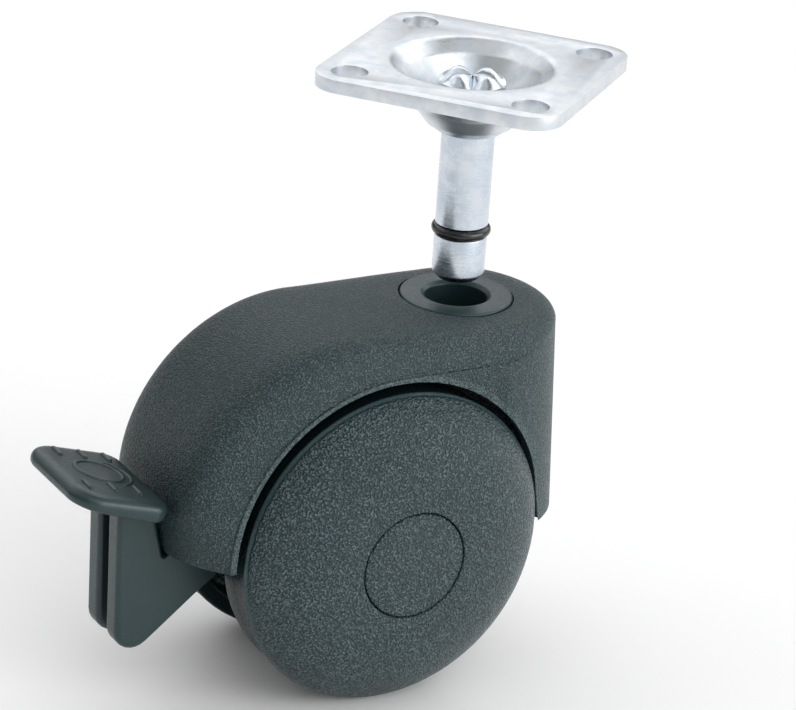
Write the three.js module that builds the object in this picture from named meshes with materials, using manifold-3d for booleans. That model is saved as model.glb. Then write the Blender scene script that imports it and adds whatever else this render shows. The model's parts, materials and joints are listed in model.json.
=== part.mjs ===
// Twin-wheel chair caster with a brake pedal and a plug-in stem plate.
//
// Millimetres, +Z up. Everything is laid out in the caster frame: the origin is the centre of
// the cross axle, +X points from the axle to the stem socket, +Y is the caster's left side.
// The last lines move the whole caster so that the origin is the bottom centre of its box.

import * as THREE from 'three';
import { ConvexGeometry } from 'three/addons/geometries/ConvexGeometry.js';
import { mergeVertices } from 'three/addons/utils/BufferGeometryUtils.js';
import Module from 'manifold-3d';

const wasm = await Module();
wasm.setup();

// ---------------------------------------------------------------- driving dimensions

const wheelRadius = 25;
const wheelInnerY = 8;
const wheelShoulderY = 15.4;
const wheelFaceY = 22.3;
const domePower = 4.5;
const domeRoot = 1.15;
const treadStep = 0.25;
const treadChamfer = 0.8;
const rimThickness = 2.8;
const wheelWall = 2.2;
const wheelRibs = 6;
const ribThickness = 1.4;

const hubCapRadius = 8.3;
const hubCapThickness = 1.5;
const hubTeeth = 24;
const hubToothTipRadius = 11.5;
const hubToothRootRadius = 10;
const hubToothWidth = 0.9;
const gearBoreRadius = 6;

const axleRadius = 3;
const axleHalfLength = 19.6;
const axleBossHalfLength = 6.6;
const axleBossRadius = 6.2;

const stemX = 17.5;
const stemRadius = 4;
const stemLength = 23.5;
const stemDrop = 10.3;
const ringCentreBelowDish = 15.7;
const ringWireRadius = 0.8;
const ringOuterRadius = 4.5;
const stemDrawnOut = 26;

const plateSide = 38;
const plateThickness = 2;
const plateCornerRadius = 5;
const plateHoleRadius = 2.75;
const plateHoleSpacing = 28;
const plateHeading = THREE.MathUtils.degToRad(38.3);
const dishTopRadius = 11.2;

const hoodHalfWidth = 15.4;
const hoodWall = 1.8;
const hoodFrontTopZ = 32.2;
const creaseRadius = 27.2;
const creaseInset = 0.3;
const creaseFrontZ = 27;
const creaseFrontRise = 2.6;
const rimChamfer = 0.4;
const crownRadius = 26.76;
const crownCentre = { x: -6.7, z: 6.3 };
const frontFlare = 0.05;
const rearBottomZ = 0.4;
const frontBottomZ = -1;
const archRadius = 25.95;
const archCentre = { x: -0.2, z: 0.6 };
const cheekInnerY = 5.3;

const collarFlangeRadius = 8.6;
const collarFlangeThickness = 0.95;
const collarTopZ = 32.6;
const collarSleeveRadius = 5.8;
const collarBoreRadius = 4.75;
const collarBottomZ = 7.2;
const stemBossRadius = 7;
const stemBossBottomZ = 1.5;

const pedalPivot = { x: -21.5, z: 4 };
const pedalPinRadius = 1.5;
const pedalHalfWidth = 5.1;
const pedalSlotHalfWidth = 1.3;
const padTilt = THREE.MathUtils.degToRad(17);
const padHalfWidth = 10.3;
const padLength = 15.6;
const padThickness = 2.4;
const padFrontEdge = { x: -33.9, z: 10.4 };

const noseX = -17.7;
const lockPinX = -12.9;
const lockPinRadius = 0.8;
const lockPinHalfLength = 10.6;
const shoeRearX = -17.3;
const shoeFrontX = -8.6;
const shoeHalfHeight = 2.6;
const shoeHalfWidth = 5;
const springPocketX = -11.6;

const fitGap = 0.3;
const runningGap = 0.1;
const seatGap = 0.15;
const coreInset = 0.7;
const roundSteps = 32;
const smallSteps = 24;
const wheelSteps = 48;
const archSteps = 72;

// ---------------------------------------------------------------- solids and booleans

// A manifold solid from any closed three.js geometry.
function toSolid(geometry) {
  const bare = geometry.clone();
  bare.deleteAttribute('normal');
  bare.deleteAttribute('uv');
  const merged = mergeVertices(bare, 1e-4);
  return new wasm.Manifold(new wasm.Mesh({
    numProp: 3,
    vertProperties: new Float32Array(merged.attributes.position.array),
    triVerts: new Uint32Array(merged.index.array),
  }));
}

// A three.js geometry from a manifold solid.
function toGeometry(solid) {
  const mesh = solid.getMesh();
  const geometry = new THREE.BufferGeometry();
  geometry.setAttribute('position', new THREE.BufferAttribute(new Float32Array(mesh.vertProperties), 3));
  geometry.setIndex(new THREE.BufferAttribute(new Uint32Array(mesh.triVerts), 1));
  geometry.computeVertexNormals();
  return geometry;
}

function join(solids) {
  return solids.reduce((sum, solid) => sum.add(solid));
}

// A closed [radius, height] outline turned about +Y; the outline is put in outward order.
function latheY(outline, steps = roundSteps) {
  const area = outline.reduce((sum, [r, y], i) => {
    const [nextR, nextY] = outline[(i + 1) % outline.length];
    return sum + r * nextY - nextR * y;
  }, 0);
  const ordered = area > 0 ? outline : [...outline].reverse();
  const closed = [...ordered, ordered[0]];
  return new THREE.LatheGeometry(closed.map(([r, y]) => new THREE.Vector2(r, y)), steps);
}

// The same outline turned about +Z.
function latheZ(outline, steps = roundSteps) {
  return latheY(outline, steps).rotateX(Math.PI / 2);
}

function cylinderY(radius, fromY, toY, x = 0, z = 0, steps = roundSteps) {
  const geometry = new THREE.CylinderGeometry(radius, radius, toY - fromY, steps);
  return geometry.translate(x, (fromY + toY) / 2, z);
}

function cylinderZ(radius, fromZ, toZ, x = 0, y = 0, steps = roundSteps) {
  const geometry = new THREE.CylinderGeometry(radius, radius, toZ - fromZ, steps);
  return geometry.rotateX(Math.PI / 2).translate(x, y, (fromZ + toZ) / 2);
}

function box(fromX, toX, fromY, toY, fromZ, toZ) {
  const geometry = new THREE.BoxGeometry(toX - fromX, toY - fromY, toZ - fromZ);
  return geometry.translate((fromX + toX) / 2, (fromY + toY) / 2, (fromZ + toZ) / 2);
}

// A shape drawn in X and Z, made solid from fromY to toY.
function extrudeAcross(shape, fromY, toY) {
  const options = { depth: toY - fromY, bevelEnabled: false, curveSegments: 6 };
  const geometry = new THREE.ExtrudeGeometry(shape, options);
  return geometry.rotateX(Math.PI / 2).translate(0, toY, 0);
}

function shapeOf(points) {
  return new THREE.Shape(points.map(([x, y]) => new THREE.Vector2(x, y)));
}

// A rectangle from x = 0 to x = length with its own corner radius at each end.
function roundedRectangle(length, halfWidth, startRadius, endRadius) {
  const shape = new THREE.Shape();
  shape.moveTo(startRadius, -halfWidth);
  shape.lineTo(length - endRadius, -halfWidth);
  shape.absarc(length - endRadius, -halfWidth + endRadius, endRadius, -Math.PI / 2, 0);
  shape.lineTo(length, halfWidth - endRadius);
  shape.absarc(length - endRadius, halfWidth - endRadius, endRadius, 0, Math.PI / 2);
  shape.lineTo(startRadius, halfWidth);
  shape.absarc(startRadius, halfWidth - startRadius, startRadius, Math.PI / 2, Math.PI);
  shape.lineTo(0, -halfWidth + startRadius);
  shape.absarc(startRadius, -halfWidth + startRadius, startRadius, Math.PI, Math.PI * 1.5);
  return shape;
}

// ---------------------------------------------------------------- materials

function material(color, roughness, metalness) {
  return new THREE.MeshStandardMaterial({ color, roughness, metalness });
}

const hoodPlastic = material(0x4a5556, 0.6, 0);
const wheelPlastic = material(0x4c5758, 0.5, 0);
const pedalPlastic = material(0x49545a, 0.45, 0);
const innerPlastic = material(0x2b3032, 0.6, 0);
const zincPlate = material(0xc9d0d6, 0.35, 0.9);
const steel = material(0xb4b8bc, 0.3, 0.95);
const springSteel = material(0x8f9499, 0.35, 0.95);
const blackRing = material(0x141516, 0.3, 0.1);

const caster = new THREE.Group();

function addPart(name, geometry, look, parent = caster) {
  const mesh = new THREE.Mesh(geometry, look);
  mesh.name = name;
  parent.add(mesh);
  return mesh;
}

// ---------------------------------------------------------------- wheels and their hubs

// Outer face height of the wheel at a radius: a crowned face that meets the tread at a rim.
function wheelDomeY(radius) {
  const share = (1 - (radius / wheelRadius) ** domePower) ** (1 / domeRoot);
  return THREE.MathUtils.lerp(wheelShoulderY, wheelFaceY, share);
}

function hubGearShape() {
  const points = [];
  for (let tooth = 0; tooth < hubTeeth; tooth += 1) {
    const centre = (tooth + 0.5) * 2 * Math.PI / hubTeeth;
    for (const [radius, side] of [[hubToothRootRadius, -1], [hubToothTipRadius, -1],
      [hubToothTipRadius, 1], [hubToothRootRadius, 1]]) {
      const angle = centre + side * Math.asin(hubToothWidth / 2 / radius);
      points.push([radius * Math.cos(angle), radius * Math.sin(angle)]);
    }
  }
  const shape = shapeOf(points);
  const hole = new THREE.Path();
  hole.absarc(0, 0, gearBoreRadius, 0, 2 * Math.PI, true);
  shape.holes.push(hole);
  return shape;
}

const hubBoreRadius = axleRadius + runningGap;
const hubInnerY = 7.6;
const hubRadius = 7.2;
const gearFromY = 8.2;
const gearToY = 11;
const capFloorY = wheelFaceY - hubCapThickness - 0.2;
const clipFloorY = 18.2;
const clipPocketRadius = 5.6;

// One rib behind the face, from the hub to the rim; its outer edge follows the face's inside.
function wheelRib(endRadius) {
  const startRadius = hubRadius - 0.5;
  const innerY = gearToY + 0.4;
  const sunkDepth = wheelWall - 0.2;
  const outline = [[startRadius, innerY], [endRadius, innerY]];
  for (const radius of [endRadius, 20, 14, startRadius]) {
    outline.push([radius, wheelDomeY(radius) - sunkDepth]);
  }
  const options = { depth: ribThickness, bevelEnabled: false };
  return new THREE.ExtrudeGeometry(shapeOf(outline), options).translate(0, 0, -ribThickness / 2);
}

function wheelSolid() {
  const capPocketRadius = hubCapRadius + seatGap;
  const rimInnerRadius = wheelRadius - rimThickness;
  const faceRadii = [13, 17, 20, 22.3, 23.9];
  const outline = [
    [hubBoreRadius, hubInnerY],
    [hubBoreRadius, clipFloorY],
    [clipPocketRadius, clipFloorY],
    [clipPocketRadius, capFloorY],
    [capPocketRadius, capFloorY],
    [capPocketRadius, wheelDomeY(capPocketRadius)],
  ];
  for (const radius of faceRadii) {
    outline.push([radius, wheelDomeY(radius)]);
  }
  const treadRadius = wheelRadius - treadStep;
  outline.push(
    [wheelRadius, wheelShoulderY],
    [treadRadius, wheelShoulderY - treadStep],
    [treadRadius, wheelInnerY + treadChamfer],
    [treadRadius - treadChamfer, wheelInnerY],
    [rimInnerRadius, wheelInnerY],
    [rimInnerRadius, wheelDomeY(rimInnerRadius) - wheelWall - 1],
    [rimInnerRadius - 2, wheelDomeY(rimInnerRadius - 2) - wheelWall],
    [14, wheelDomeY(14) - wheelWall],
    [hubRadius, wheelDomeY(hubRadius) - wheelWall - 0.6],
    [hubRadius, gearFromY],
    [hubRadius - 1.8, hubInnerY],
  );
  const solids = [toSolid(latheY(outline, wheelSteps))];
  solids.push(toSolid(extrudeAcross(hubGearShape(), gearFromY, gearToY)));
  for (let rib = 0; rib < wheelRibs; rib += 1) {
    const turn = (rib + 0.5) * 2 * Math.PI / wheelRibs;
    solids.push(toSolid(wheelRib(rimInnerRadius + 0.5).rotateY(turn)));
  }
  return join(solids);
}

const wheelGeometry = toGeometry(wheelSolid());

const capInnerY = capFloorY + seatGap;
const capChamfer = 0.35;
const capCrown = 0.25;
const hubCapOutline = [
  [0, capInnerY],
  [hubCapRadius - capChamfer, capInnerY],
  [hubCapRadius, capInnerY + capChamfer],
  [hubCapRadius, wheelFaceY - capChamfer],
  [hubCapRadius - capChamfer, wheelFaceY],
  [0, wheelFaceY + capCrown],
];

// A push-on clip: a flat collar whose inner edge is dished outward along the axle.
const clipOuterRadius = 5.2;
const clipBoreRadius = axleRadius + 0.05;
const clipInnerY = clipFloorY + seatGap;
const axleClipOutline = [
  [clipBoreRadius, clipInnerY],
  [clipOuterRadius, clipInnerY],
  [clipOuterRadius, clipInnerY + 0.5],
  [clipBoreRadius, clipInnerY + 0.9],
];

const washerRadius = 5.5;
const washerBoreRadius = axleRadius + 0.15;
const thrustWasherOutline = [
  [washerBoreRadius, axleBossHalfLength + runningGap],
  [washerRadius, axleBossHalfLength + runningGap],
  [washerRadius, hubInnerY - runningGap],
  [washerBoreRadius, hubInnerY - runningGap],
];

// Both sides carry the same pieces; the right side is the left side turned half round.
for (const [side, turn] of [['left', 0], ['right', Math.PI]]) {
  const sideGroup = new THREE.Group();
  sideGroup.rotation.z = turn;
  caster.add(sideGroup);
  addPart(`${side}_wheel`, wheelGeometry, wheelPlastic, sideGroup);
  addPart(`${side}_hub_cap`, latheY(hubCapOutline), wheelPlastic, sideGroup);
  addPart(`${side}_axle_clip`, latheY(axleClipOutline, smallSteps), springSteel, sideGroup);
  addPart(`${side}_thrust_washer`, latheY(thrustWasherOutline, smallSteps), innerPlastic, sideGroup);
}

const axleChamfer = 0.5;
addPart('axle', latheY([
  [0, -axleHalfLength],
  [axleRadius - axleChamfer, -axleHalfLength],
  [axleRadius, -axleHalfLength + axleChamfer],
  [axleRadius, axleHalfLength - axleChamfer],
  [axleRadius - axleChamfer, axleHalfLength],
  [0, axleHalfLength],
]), steel);

// ---------------------------------------------------------------- hood

// How the roof curves over its width: a high power is a flat roof with tight shoulders.
const sectionAtBottom = { power: 2.8, root: 1 };
const sectionAtRear = { power: 7.5, root: 1.2 };
const sectionAtFront = { power: 8.5, root: 1.65 };
const bottomBlendHeight = 9;

const acrossSteps = 24;
const climbSteps = 14;
const roofSteps = 4;
const frontSteps = 20;
const blockDrop = 8;

function blendSections(from, to, share) {
  const { lerp } = THREE.MathUtils;
  return { power: lerp(from.power, to.power, share), root: lerp(from.root, to.root, share) };
}

// How far the roof stands between the side crease (0) and the crown (1) at u across the width.
function crownShare(u, { power, root }) {
  return Math.max(0, 1 - Math.abs(u) ** power) ** (1 / root);
}

// A point on the arc that climbs from the rear bottom (share 0) to the top (share 1).
function climbPoint(centre, radius, share) {
  const start = Math.PI - Math.asin((rearBottomZ - centre.z) / radius);
  const angle = THREE.MathUtils.lerp(start, Math.PI / 2, share);
  return { x: centre.x + radius * Math.cos(angle), z: centre.z + radius * Math.sin(angle) };
}

// One row across the hood, with the rim of the side panels just below its ends.
function rowAcross(crease, crown, half, section) {
  const { lerp } = THREE.MathUtils;
  const points = [];
  for (let i = 0; i <= acrossSteps; i += 1) {
    const u = Math.cos(Math.PI * i / acrossSteps);
    const share = crownShare(u, section);
    const y = (half - rimChamfer) * u;
    points.push(new THREE.Vector3(lerp(crease.x, crown.x, share), y, lerp(crease.z, crown.z, share)));
  }
  const inward = crease.x < 0 ? 1 - rimChamfer / creaseRadius : 1;
  const down = crease.x < 0 ? 0 : rimChamfer;
  for (const side of [-1, 1]) {
    points.push(new THREE.Vector3(crease.x * inward, side * half, crease.z * inward - down));
  }
  return points;
}

// The rows that climb the hood's back, the lowest one also drawn down by drop.
function rearRows(inset, drop) {
  const half = hoodHalfWidth - inset;
  const sideRadius = inset > 0 ? creaseRadius - creaseInset : creaseRadius;
  const points = [];
  for (let j = 0; j <= climbSteps; j += 1) {
    const crease = climbPoint({ x: 0, z: 0 }, sideRadius, j / climbSteps);
    const crown = climbPoint(crownCentre, crownRadius - inset, j / climbSteps);
    const rise = THREE.MathUtils.smoothstep(crown.z, rearBottomZ, rearBottomZ + bottomBlendHeight);
    const row = rowAcross(crease, crown, half, blendSections(sectionAtBottom, sectionAtRear, rise));
    points.push(...row);
    if (j === 0) {
      points.push(...row.map(({ x, y, z }) => new THREE.Vector3(x, y, z - drop)));
    }
  }
  return points;
}

// The rows from the top of the back to the stem.
function roofRows(inset) {
  const { lerp } = THREE.MathUtils;
  const half = hoodHalfWidth - inset;
  const down = inset > 0 ? creaseInset : 0;
  const points = [];
  for (let j = 1; j <= roofSteps; j += 1) {
    const share = j / roofSteps;
    const crease = { x: stemX * share, z: lerp(creaseRadius, creaseFrontZ, share) - down };
    const crownZ = lerp(crownCentre.z + crownRadius, hoodFrontTopZ, share) - inset;
    const crown = { x: lerp(crownCentre.x, stemX, share), z: crownZ };
    points.push(...rowAcross(crease, crown, half, blendSections(sectionAtRear, sectionAtFront, share)));
  }
  return points;
}

// The half-round front, turned about the stem; its wall flares a little towards the bottom.
function frontRows(inset, drop) {
  const half = hoodHalfWidth - inset;
  const down = inset > 0 ? creaseInset : 0;
  const points = [];
  for (let i = 0; i <= frontSteps; i += 1) {
    const turn = -Math.PI / 2 + Math.PI * i / frontSteps;
    const ring = (radius, z) => points.push(new THREE.Vector3(
      stemX + radius * Math.cos(turn), radius * Math.sin(turn), z));
    const rise = creaseFrontRise * THREE.MathUtils.smoothstep(Math.cos(turn), 0, 0.85);
    const creaseZ = creaseFrontZ + rise - down;
    for (const u of [0, 0.5, 0.7, 0.82, 0.9, 0.96, 0.99, 1]) {
      const share = crownShare(u, sectionAtFront);
      ring((half - rimChamfer / 2) * u, THREE.MathUtils.lerp(creaseZ, hoodFrontTopZ - inset, share));
    }
    ring(half, creaseZ - rimChamfer);
    ring(half + frontFlare * (creaseZ - frontBottomZ), frontBottomZ - drop);
  }
  return points;
}

// The hood's full block, moved in by inset and drawn down by drop at the open bottom.
function hoodBlock(inset, drop) {
  const points = [...rearRows(inset, drop), ...roofRows(inset), ...frontRows(inset, drop)];
  return toSolid(new ConvexGeometry(points));
}

// The outer shell, open at the bottom and cut back to the wheel arch on both sides.
function hoodShell() {
  const archY = axleBossHalfLength + fitGap;
  const archEndY = 30;
  return hoodBlock(0, 0).subtract(join([
    hoodBlock(hoodWall, blockDrop),
    toSolid(cylinderY(archRadius, archY, archEndY, archCentre.x, archCentre.z, archSteps)),
    toSolid(cylinderY(archRadius, -archEndY, -archY, archCentre.x, archCentre.z, archSteps)),
  ]));
}

// The two cheeks beside the brake and the rib in the nose, trimmed to the inside of the shell.
function hoodCore() {
  const rearX = -31.5;
  const frontX = 33.5;
  const topZ = 31.5;
  const ribHalfWidth = 0.9;
  // Below the hood's edge the cheeks carry the brake pivot and the axle.
  const cheekOutline = shapeOf([
    [rearX, rearBottomZ], [-23, rearBottomZ - 0.6], [-19.4, -4.2], [-5, -5.4], [8, -4.6],
    [12, frontBottomZ], [frontX, frontBottomZ], [frontX, topZ], [rearX, topZ],
  ]);
  return join([
    toSolid(extrudeAcross(cheekOutline, cheekInnerY, axleBossHalfLength)),
    toSolid(extrudeAcross(cheekOutline, -axleBossHalfLength, -cheekInnerY)),
    toSolid(box(stemX, frontX, -ribHalfWidth, ribHalfWidth, frontBottomZ, topZ)),
  ]).intersect(hoodBlock(coreInset, blockDrop));
}

function hoodSolid() {
  const acrossY = 12;
  const aboveZ = 40;
  const seatZ = collarTopZ - collarFlangeThickness - fitGap;
  const bosses = [
    toSolid(cylinderY(axleBossRadius, -axleBossHalfLength, axleBossHalfLength)),
    toSolid(cylinderZ(stemBossRadius, stemBossBottomZ, seatZ, stemX)),
  ];
  const pinSlot = { fromX: lockPinX - 1.1, toX: lockPinX + 2.6, halfHeight: 1 };
  const { x: pivotX, z: pivotZ } = pedalPivot;
  const bores = [
    toSolid(cylinderY(axleRadius + runningGap, -acrossY, acrossY)),
    toSolid(cylinderZ(collarSleeveRadius + fitGap, collarBottomZ - fitGap, aboveZ, stemX)),
    toSolid(cylinderZ(collarFlangeRadius + fitGap, seatZ, aboveZ, stemX)),
    toSolid(cylinderY(pedalPinRadius + runningGap, -acrossY, acrossY, pivotX, pivotZ)),
    toSolid(box(pinSlot.fromX, pinSlot.toX, -acrossY, acrossY, -pinSlot.halfHeight, pinSlot.halfHeight)),
  ];
  return join([hoodShell(), hoodCore(), ...bosses]).subtract(join(bores));
}

addPart('hood', toGeometry(hoodSolid()), hoodPlastic);

// ---------------------------------------------------------------- socket collar

const ringSeatZ = collarTopZ + fitGap - ringCentreBelowDish;

const collar = addPart('socket_collar', latheZ([
  [collarBoreRadius, collarBottomZ],
  [collarSleeveRadius, collarBottomZ],
  [collarSleeveRadius, collarTopZ - collarFlangeThickness],
  [collarFlangeRadius, collarTopZ - collarFlangeThickness],
  [collarFlangeRadius, collarTopZ - 0.3],
  [collarFlangeRadius - 0.35, collarTopZ],
  [collarBoreRadius + 0.5, collarTopZ],
  [collarBoreRadius, collarTopZ - 0.5],
  [collarBoreRadius, ringSeatZ + 1.2],
  [collarBoreRadius + 0.4, ringSeatZ + 0.8],
  [collarBoreRadius + 0.4, ringSeatZ - 0.8],
  [collarBoreRadius, ringSeatZ - 1.2],
]), hoodPlastic);
collar.position.x = stemX;

// ---------------------------------------------------------------- stem plate unit

// Its own frame: z = 0 is the top of the plate, on the stem's axis.
const stemUnit = new THREE.Group();
stemUnit.position.set(stemX, 0, collarTopZ + fitGap + stemDrop + stemDrawnOut);
caster.add(stemUnit);

function plateSolid() {
  const square = roundedRectangle(plateSide, plateSide / 2, plateCornerRadius, plateCornerRadius);
  const options = { depth: plateThickness, bevelEnabled: false, curveSegments: 6 };
  const blank = new THREE.ExtrudeGeometry(square, options);
  blank.translate(-plateSide / 2, 0, -plateThickness);
  const dishOutline = [
    [dishTopRadius + 1.4, 0], [dishTopRadius + 0.2, -0.4], [dishTopRadius - 1.2, -1.6],
    [8, -5.4], [6.6, -7.6], [5.9, -8.3], [stemRadius + runningGap, -8.3],
    [stemRadius + runningGap, -stemDrop], [4.6, -stemDrop], [5.9, -9.7], [8, -7.2],
    [10, -4.2], [dishTopRadius + 1.4, -plateThickness],
  ];
  const dish = toSolid(latheZ(dishOutline));
  const through = 5;
  const holes = [toSolid(cylinderZ(dishTopRadius + 1.2, -through, through))];
  for (const x of [-plateHoleSpacing / 2, plateHoleSpacing / 2]) {
    for (const y of [-plateHoleSpacing / 2, plateHoleSpacing / 2]) {
      holes.push(toSolid(cylinderZ(plateHoleRadius, -through, through, x, y, smallSteps)));
    }
  }
  return toSolid(blank).subtract(join(holes)).add(dish);
}

const plate = addPart('mounting_plate', toGeometry(plateSolid()), zincPlate, stemUnit);
plate.rotation.z = plateHeading;

function stemSolid() {
  const headRadius = 5;
  const headTopZ = -1.4;
  const grooveZ = -stemDrop - ringCentreBelowDish;
  const grooveRadius = ringOuterRadius - 2 * ringWireRadius - 0.1;
  const tipZ = -stemDrop - stemLength;
  const body = toSolid(latheZ([
    [0, tipZ], [stemRadius - 1, tipZ], [stemRadius, tipZ + 1],
    [stemRadius, grooveZ - ringWireRadius - runningGap],
    [grooveRadius, grooveZ - ringWireRadius - runningGap],
    [grooveRadius, grooveZ + ringWireRadius + runningGap],
    [stemRadius, grooveZ + ringWireRadius + runningGap],
    [stemRadius, -8.1], [headRadius, -8.1], [headRadius, headTopZ - 1],
    [headRadius - 0.8, headTopZ], [0, headTopZ],
  ]));
  const grooves = [];
  for (let i = 0; i < 3; i += 1) {
    const groove = new THREE.BoxGeometry(12, 1.5, 1.5);
    groove.rotateX(Math.PI / 4).translate(0, 0, headTopZ + 0.1);
    grooves.push(toSolid(groove.rotateZ(i * Math.PI / 3)));
  }
  return body.subtract(join(grooves));
}

addPart('stem_pin', toGeometry(stemSolid()), steel, stemUnit);

const ring = new THREE.TorusGeometry(ringOuterRadius - ringWireRadius, ringWireRadius, 8, roundSteps);
const stemRing = addPart('stem_ring', ring, blackRing, stemUnit);
stemRing.position.z = -stemDrop - ringCentreBelowDish;

// ---------------------------------------------------------------- brake

// The lever seen from the side: down its rear edge, round the heel, forward to the nose that
// pushes the shoe, over the pivot eye and back under the hood's rear edge to the pad.
function leverOutline() {
  const heel = { x: -36.8, z: -11.6, radius: 3.4 };
  const eyeRadius = 4.2;
  const outline = new THREE.Shape();
  outline.moveTo(-40.4, 10);
  outline.lineTo(heel.x - heel.radius, heel.z);
  outline.absarc(heel.x, heel.z, heel.radius, Math.PI, Math.PI * 1.71);
  outline.lineTo(-27.3, -7.3);
  outline.lineTo(-18.6, -1);
  outline.lineTo(noseX, -0.4);
  outline.lineTo(noseX, 2);
  outline.absarc(pedalPivot.x, pedalPivot.z, eyeRadius, -0.45, Math.PI * 0.8);
  outline.lineTo(-28, -0.2);
  outline.lineTo(-33.2, -0.4);
  outline.lineTo(-34.1, 5.4);
  outline.lineTo(-34.3, 8.5);
  return outline;
}

// The foot pad: tilted, with small front corners and large rear corners.
function padBlank() {
  const outline = roundedRectangle(padLength, padHalfWidth, 2.6, 7);
  const options = { depth: padThickness, bevelEnabled: false, curveSegments: 8 };
  const pad = new THREE.ExtrudeGeometry(outline, options);
  pad.translate(0, 0, -padThickness).rotateZ(Math.PI).rotateY(padTilt);
  return pad.translate(padFrontEdge.x, 0, padFrontEdge.z);
}

function pedalSolid() {
  const bridgeHalfWidth = pedalHalfWidth - 1;
  const bridge = shapeOf([
    [-26, -5.8], [-18.6, -1], [noseX, -0.4], [noseX, 2], [-19, 7], [-24, 7], [-27, 0.2],
  ]);
  const body = join([
    toSolid(extrudeAcross(leverOutline(), pedalSlotHalfWidth, pedalHalfWidth)),
    toSolid(extrudeAcross(leverOutline(), -pedalHalfWidth, -pedalSlotHalfWidth)),
    toSolid(extrudeAcross(bridge, -bridgeHalfWidth, bridgeHalfWidth)),
    toSolid(padBlank()),
  ]);
  const eyeBore = cylinderY(pedalPinRadius + runningGap, -12, 12, pedalPivot.x, pedalPivot.z);
  return body.subtract(toSolid(eyeBore));
}

addPart('brake_lever', toGeometry(pedalSolid()), pedalPlastic);

const pivotPin = cylinderY(pedalPinRadius, -axleBossHalfLength, axleBossHalfLength,
  pedalPivot.x, pedalPivot.z, smallSteps);
addPart('brake_pivot_pin', pivotPin, steel);

function shoeSolid() {
  const block = box(shoeRearX, shoeFrontX, -shoeHalfWidth, shoeHalfWidth, -shoeHalfHeight, shoeHalfHeight);
  const pinBore = cylinderY(lockPinRadius + 0.05, -12, 12, lockPinX, 0, smallSteps);
  const springPocket = cylinderZ(2.2, 0, 5, 0, 0, smallSteps).rotateY(Math.PI / 2);
  springPocket.translate(springPocketX, 0, 0);
  return toSolid(block).subtract(join([toSolid(pinBore), toSolid(springPocket)]));
}

addPart('brake_shoe', toGeometry(shoeSolid()), innerPlastic);
const lockPin = cylinderY(lockPinRadius, -lockPinHalfLength, lockPinHalfLength, lockPinX, 0, smallSteps);
addPart('brake_lock_pin', lockPin, steel);

// A coil about +X between the axle boss and the pocket in the shoe.
class Coil extends THREE.Curve {
  constructor(fromX, toX, radius, turns) {
    super();
    Object.assign(this, { fromX, toX, radius, turns });
  }

  getPoint(share, target = new THREE.Vector3()) {
    const angle = share * this.turns * 2 * Math.PI;
    const x = THREE.MathUtils.lerp(this.fromX, this.toX, share);
    return target.set(x, this.radius * Math.cos(angle), this.radius * Math.sin(angle));
  }
}

const wire = new THREE.Shape();
wire.absarc(0, 0, 0.28, 0, 2 * Math.PI);
const coil = new Coil(-9.6, -6.8, 1.6, 4);
const springOptions = { steps: 40, bevelEnabled: false, extrudePath: coil, curveSegments: 3 };
addPart('brake_spring', new THREE.ExtrudeGeometry(wire, springOptions), springSteel);

// ---------------------------------------------------------------- origin

caster.updateMatrixWorld(true);
const bounds = new THREE.Box3().setFromObject(caster, true);
const centre = bounds.getCenter(new THREE.Vector3());
caster.position.set(-centre.x, -centre.y, -bounds.min.z);

const casterPart = new THREE.Group();
casterPart.add(caster);

export default casterPart;
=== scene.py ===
"""Looks of the twin-wheel caster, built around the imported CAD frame. Sizes in the tables are millimetres."""
import json
import math

import bmesh
import bpy
import numpy as np
from mathutils import Euler, Matrix, Vector


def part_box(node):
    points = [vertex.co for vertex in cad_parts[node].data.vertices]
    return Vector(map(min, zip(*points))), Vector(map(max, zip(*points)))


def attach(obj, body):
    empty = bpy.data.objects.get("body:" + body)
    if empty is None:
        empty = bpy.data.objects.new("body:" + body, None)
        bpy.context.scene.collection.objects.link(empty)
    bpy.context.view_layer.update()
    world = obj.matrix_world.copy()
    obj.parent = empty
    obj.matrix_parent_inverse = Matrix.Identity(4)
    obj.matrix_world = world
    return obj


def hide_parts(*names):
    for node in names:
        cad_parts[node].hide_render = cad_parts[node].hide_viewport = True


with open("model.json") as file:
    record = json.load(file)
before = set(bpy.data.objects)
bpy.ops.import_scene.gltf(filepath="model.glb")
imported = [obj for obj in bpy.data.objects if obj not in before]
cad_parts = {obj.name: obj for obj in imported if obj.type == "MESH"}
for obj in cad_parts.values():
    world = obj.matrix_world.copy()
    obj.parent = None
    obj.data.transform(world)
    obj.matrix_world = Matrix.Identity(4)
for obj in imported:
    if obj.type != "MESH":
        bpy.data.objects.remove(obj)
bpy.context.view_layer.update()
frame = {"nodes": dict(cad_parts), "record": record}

MM = 0.001


# ------------------------------------------------------------------ places taken from the frame

def centre_mm(node):
    low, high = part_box(node)
    return (low + high) / 2 / MM


AXLE = centre_mm("axle")
STEM = centre_mm("stem_pin")
PIVOT = centre_mm("brake_pivot_pin")
WHEEL_RADIUS = (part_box("right_wheel")[1].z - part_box("right_wheel")[0].z) / 2 / MM
PLATE_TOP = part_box("mounting_plate")[1].z / MM
COLLAR_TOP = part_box("socket_collar")[1].z / MM
RING_Z = centre_mm("stem_ring").z

# The caster frame has its origin in the middle of the axle.
STEM_X = STEM.x - AXLE.x
COLLAR_Z = COLLAR_TOP - AXLE.z

PLATE_HEADING = math.radians(38.3)
AXLE_BORE = 3.1
PIVOT_BORE = 1.6


# ------------------------------------------------------------------ mesh helpers

def new_object(name, verts, faces, origin=AXLE):
    """A closed mesh from millimetre points around an origin, with normals turned outward."""
    mesh = bpy.data.meshes.new(name)
    mesh.from_pydata([Vector(v) * MM for v in verts], [], faces)
    obj = bpy.data.objects.new(name, mesh)
    bpy.context.scene.collection.objects.link(obj)
    obj.location = Vector(origin) * MM
    tidy(obj)
    return obj


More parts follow.
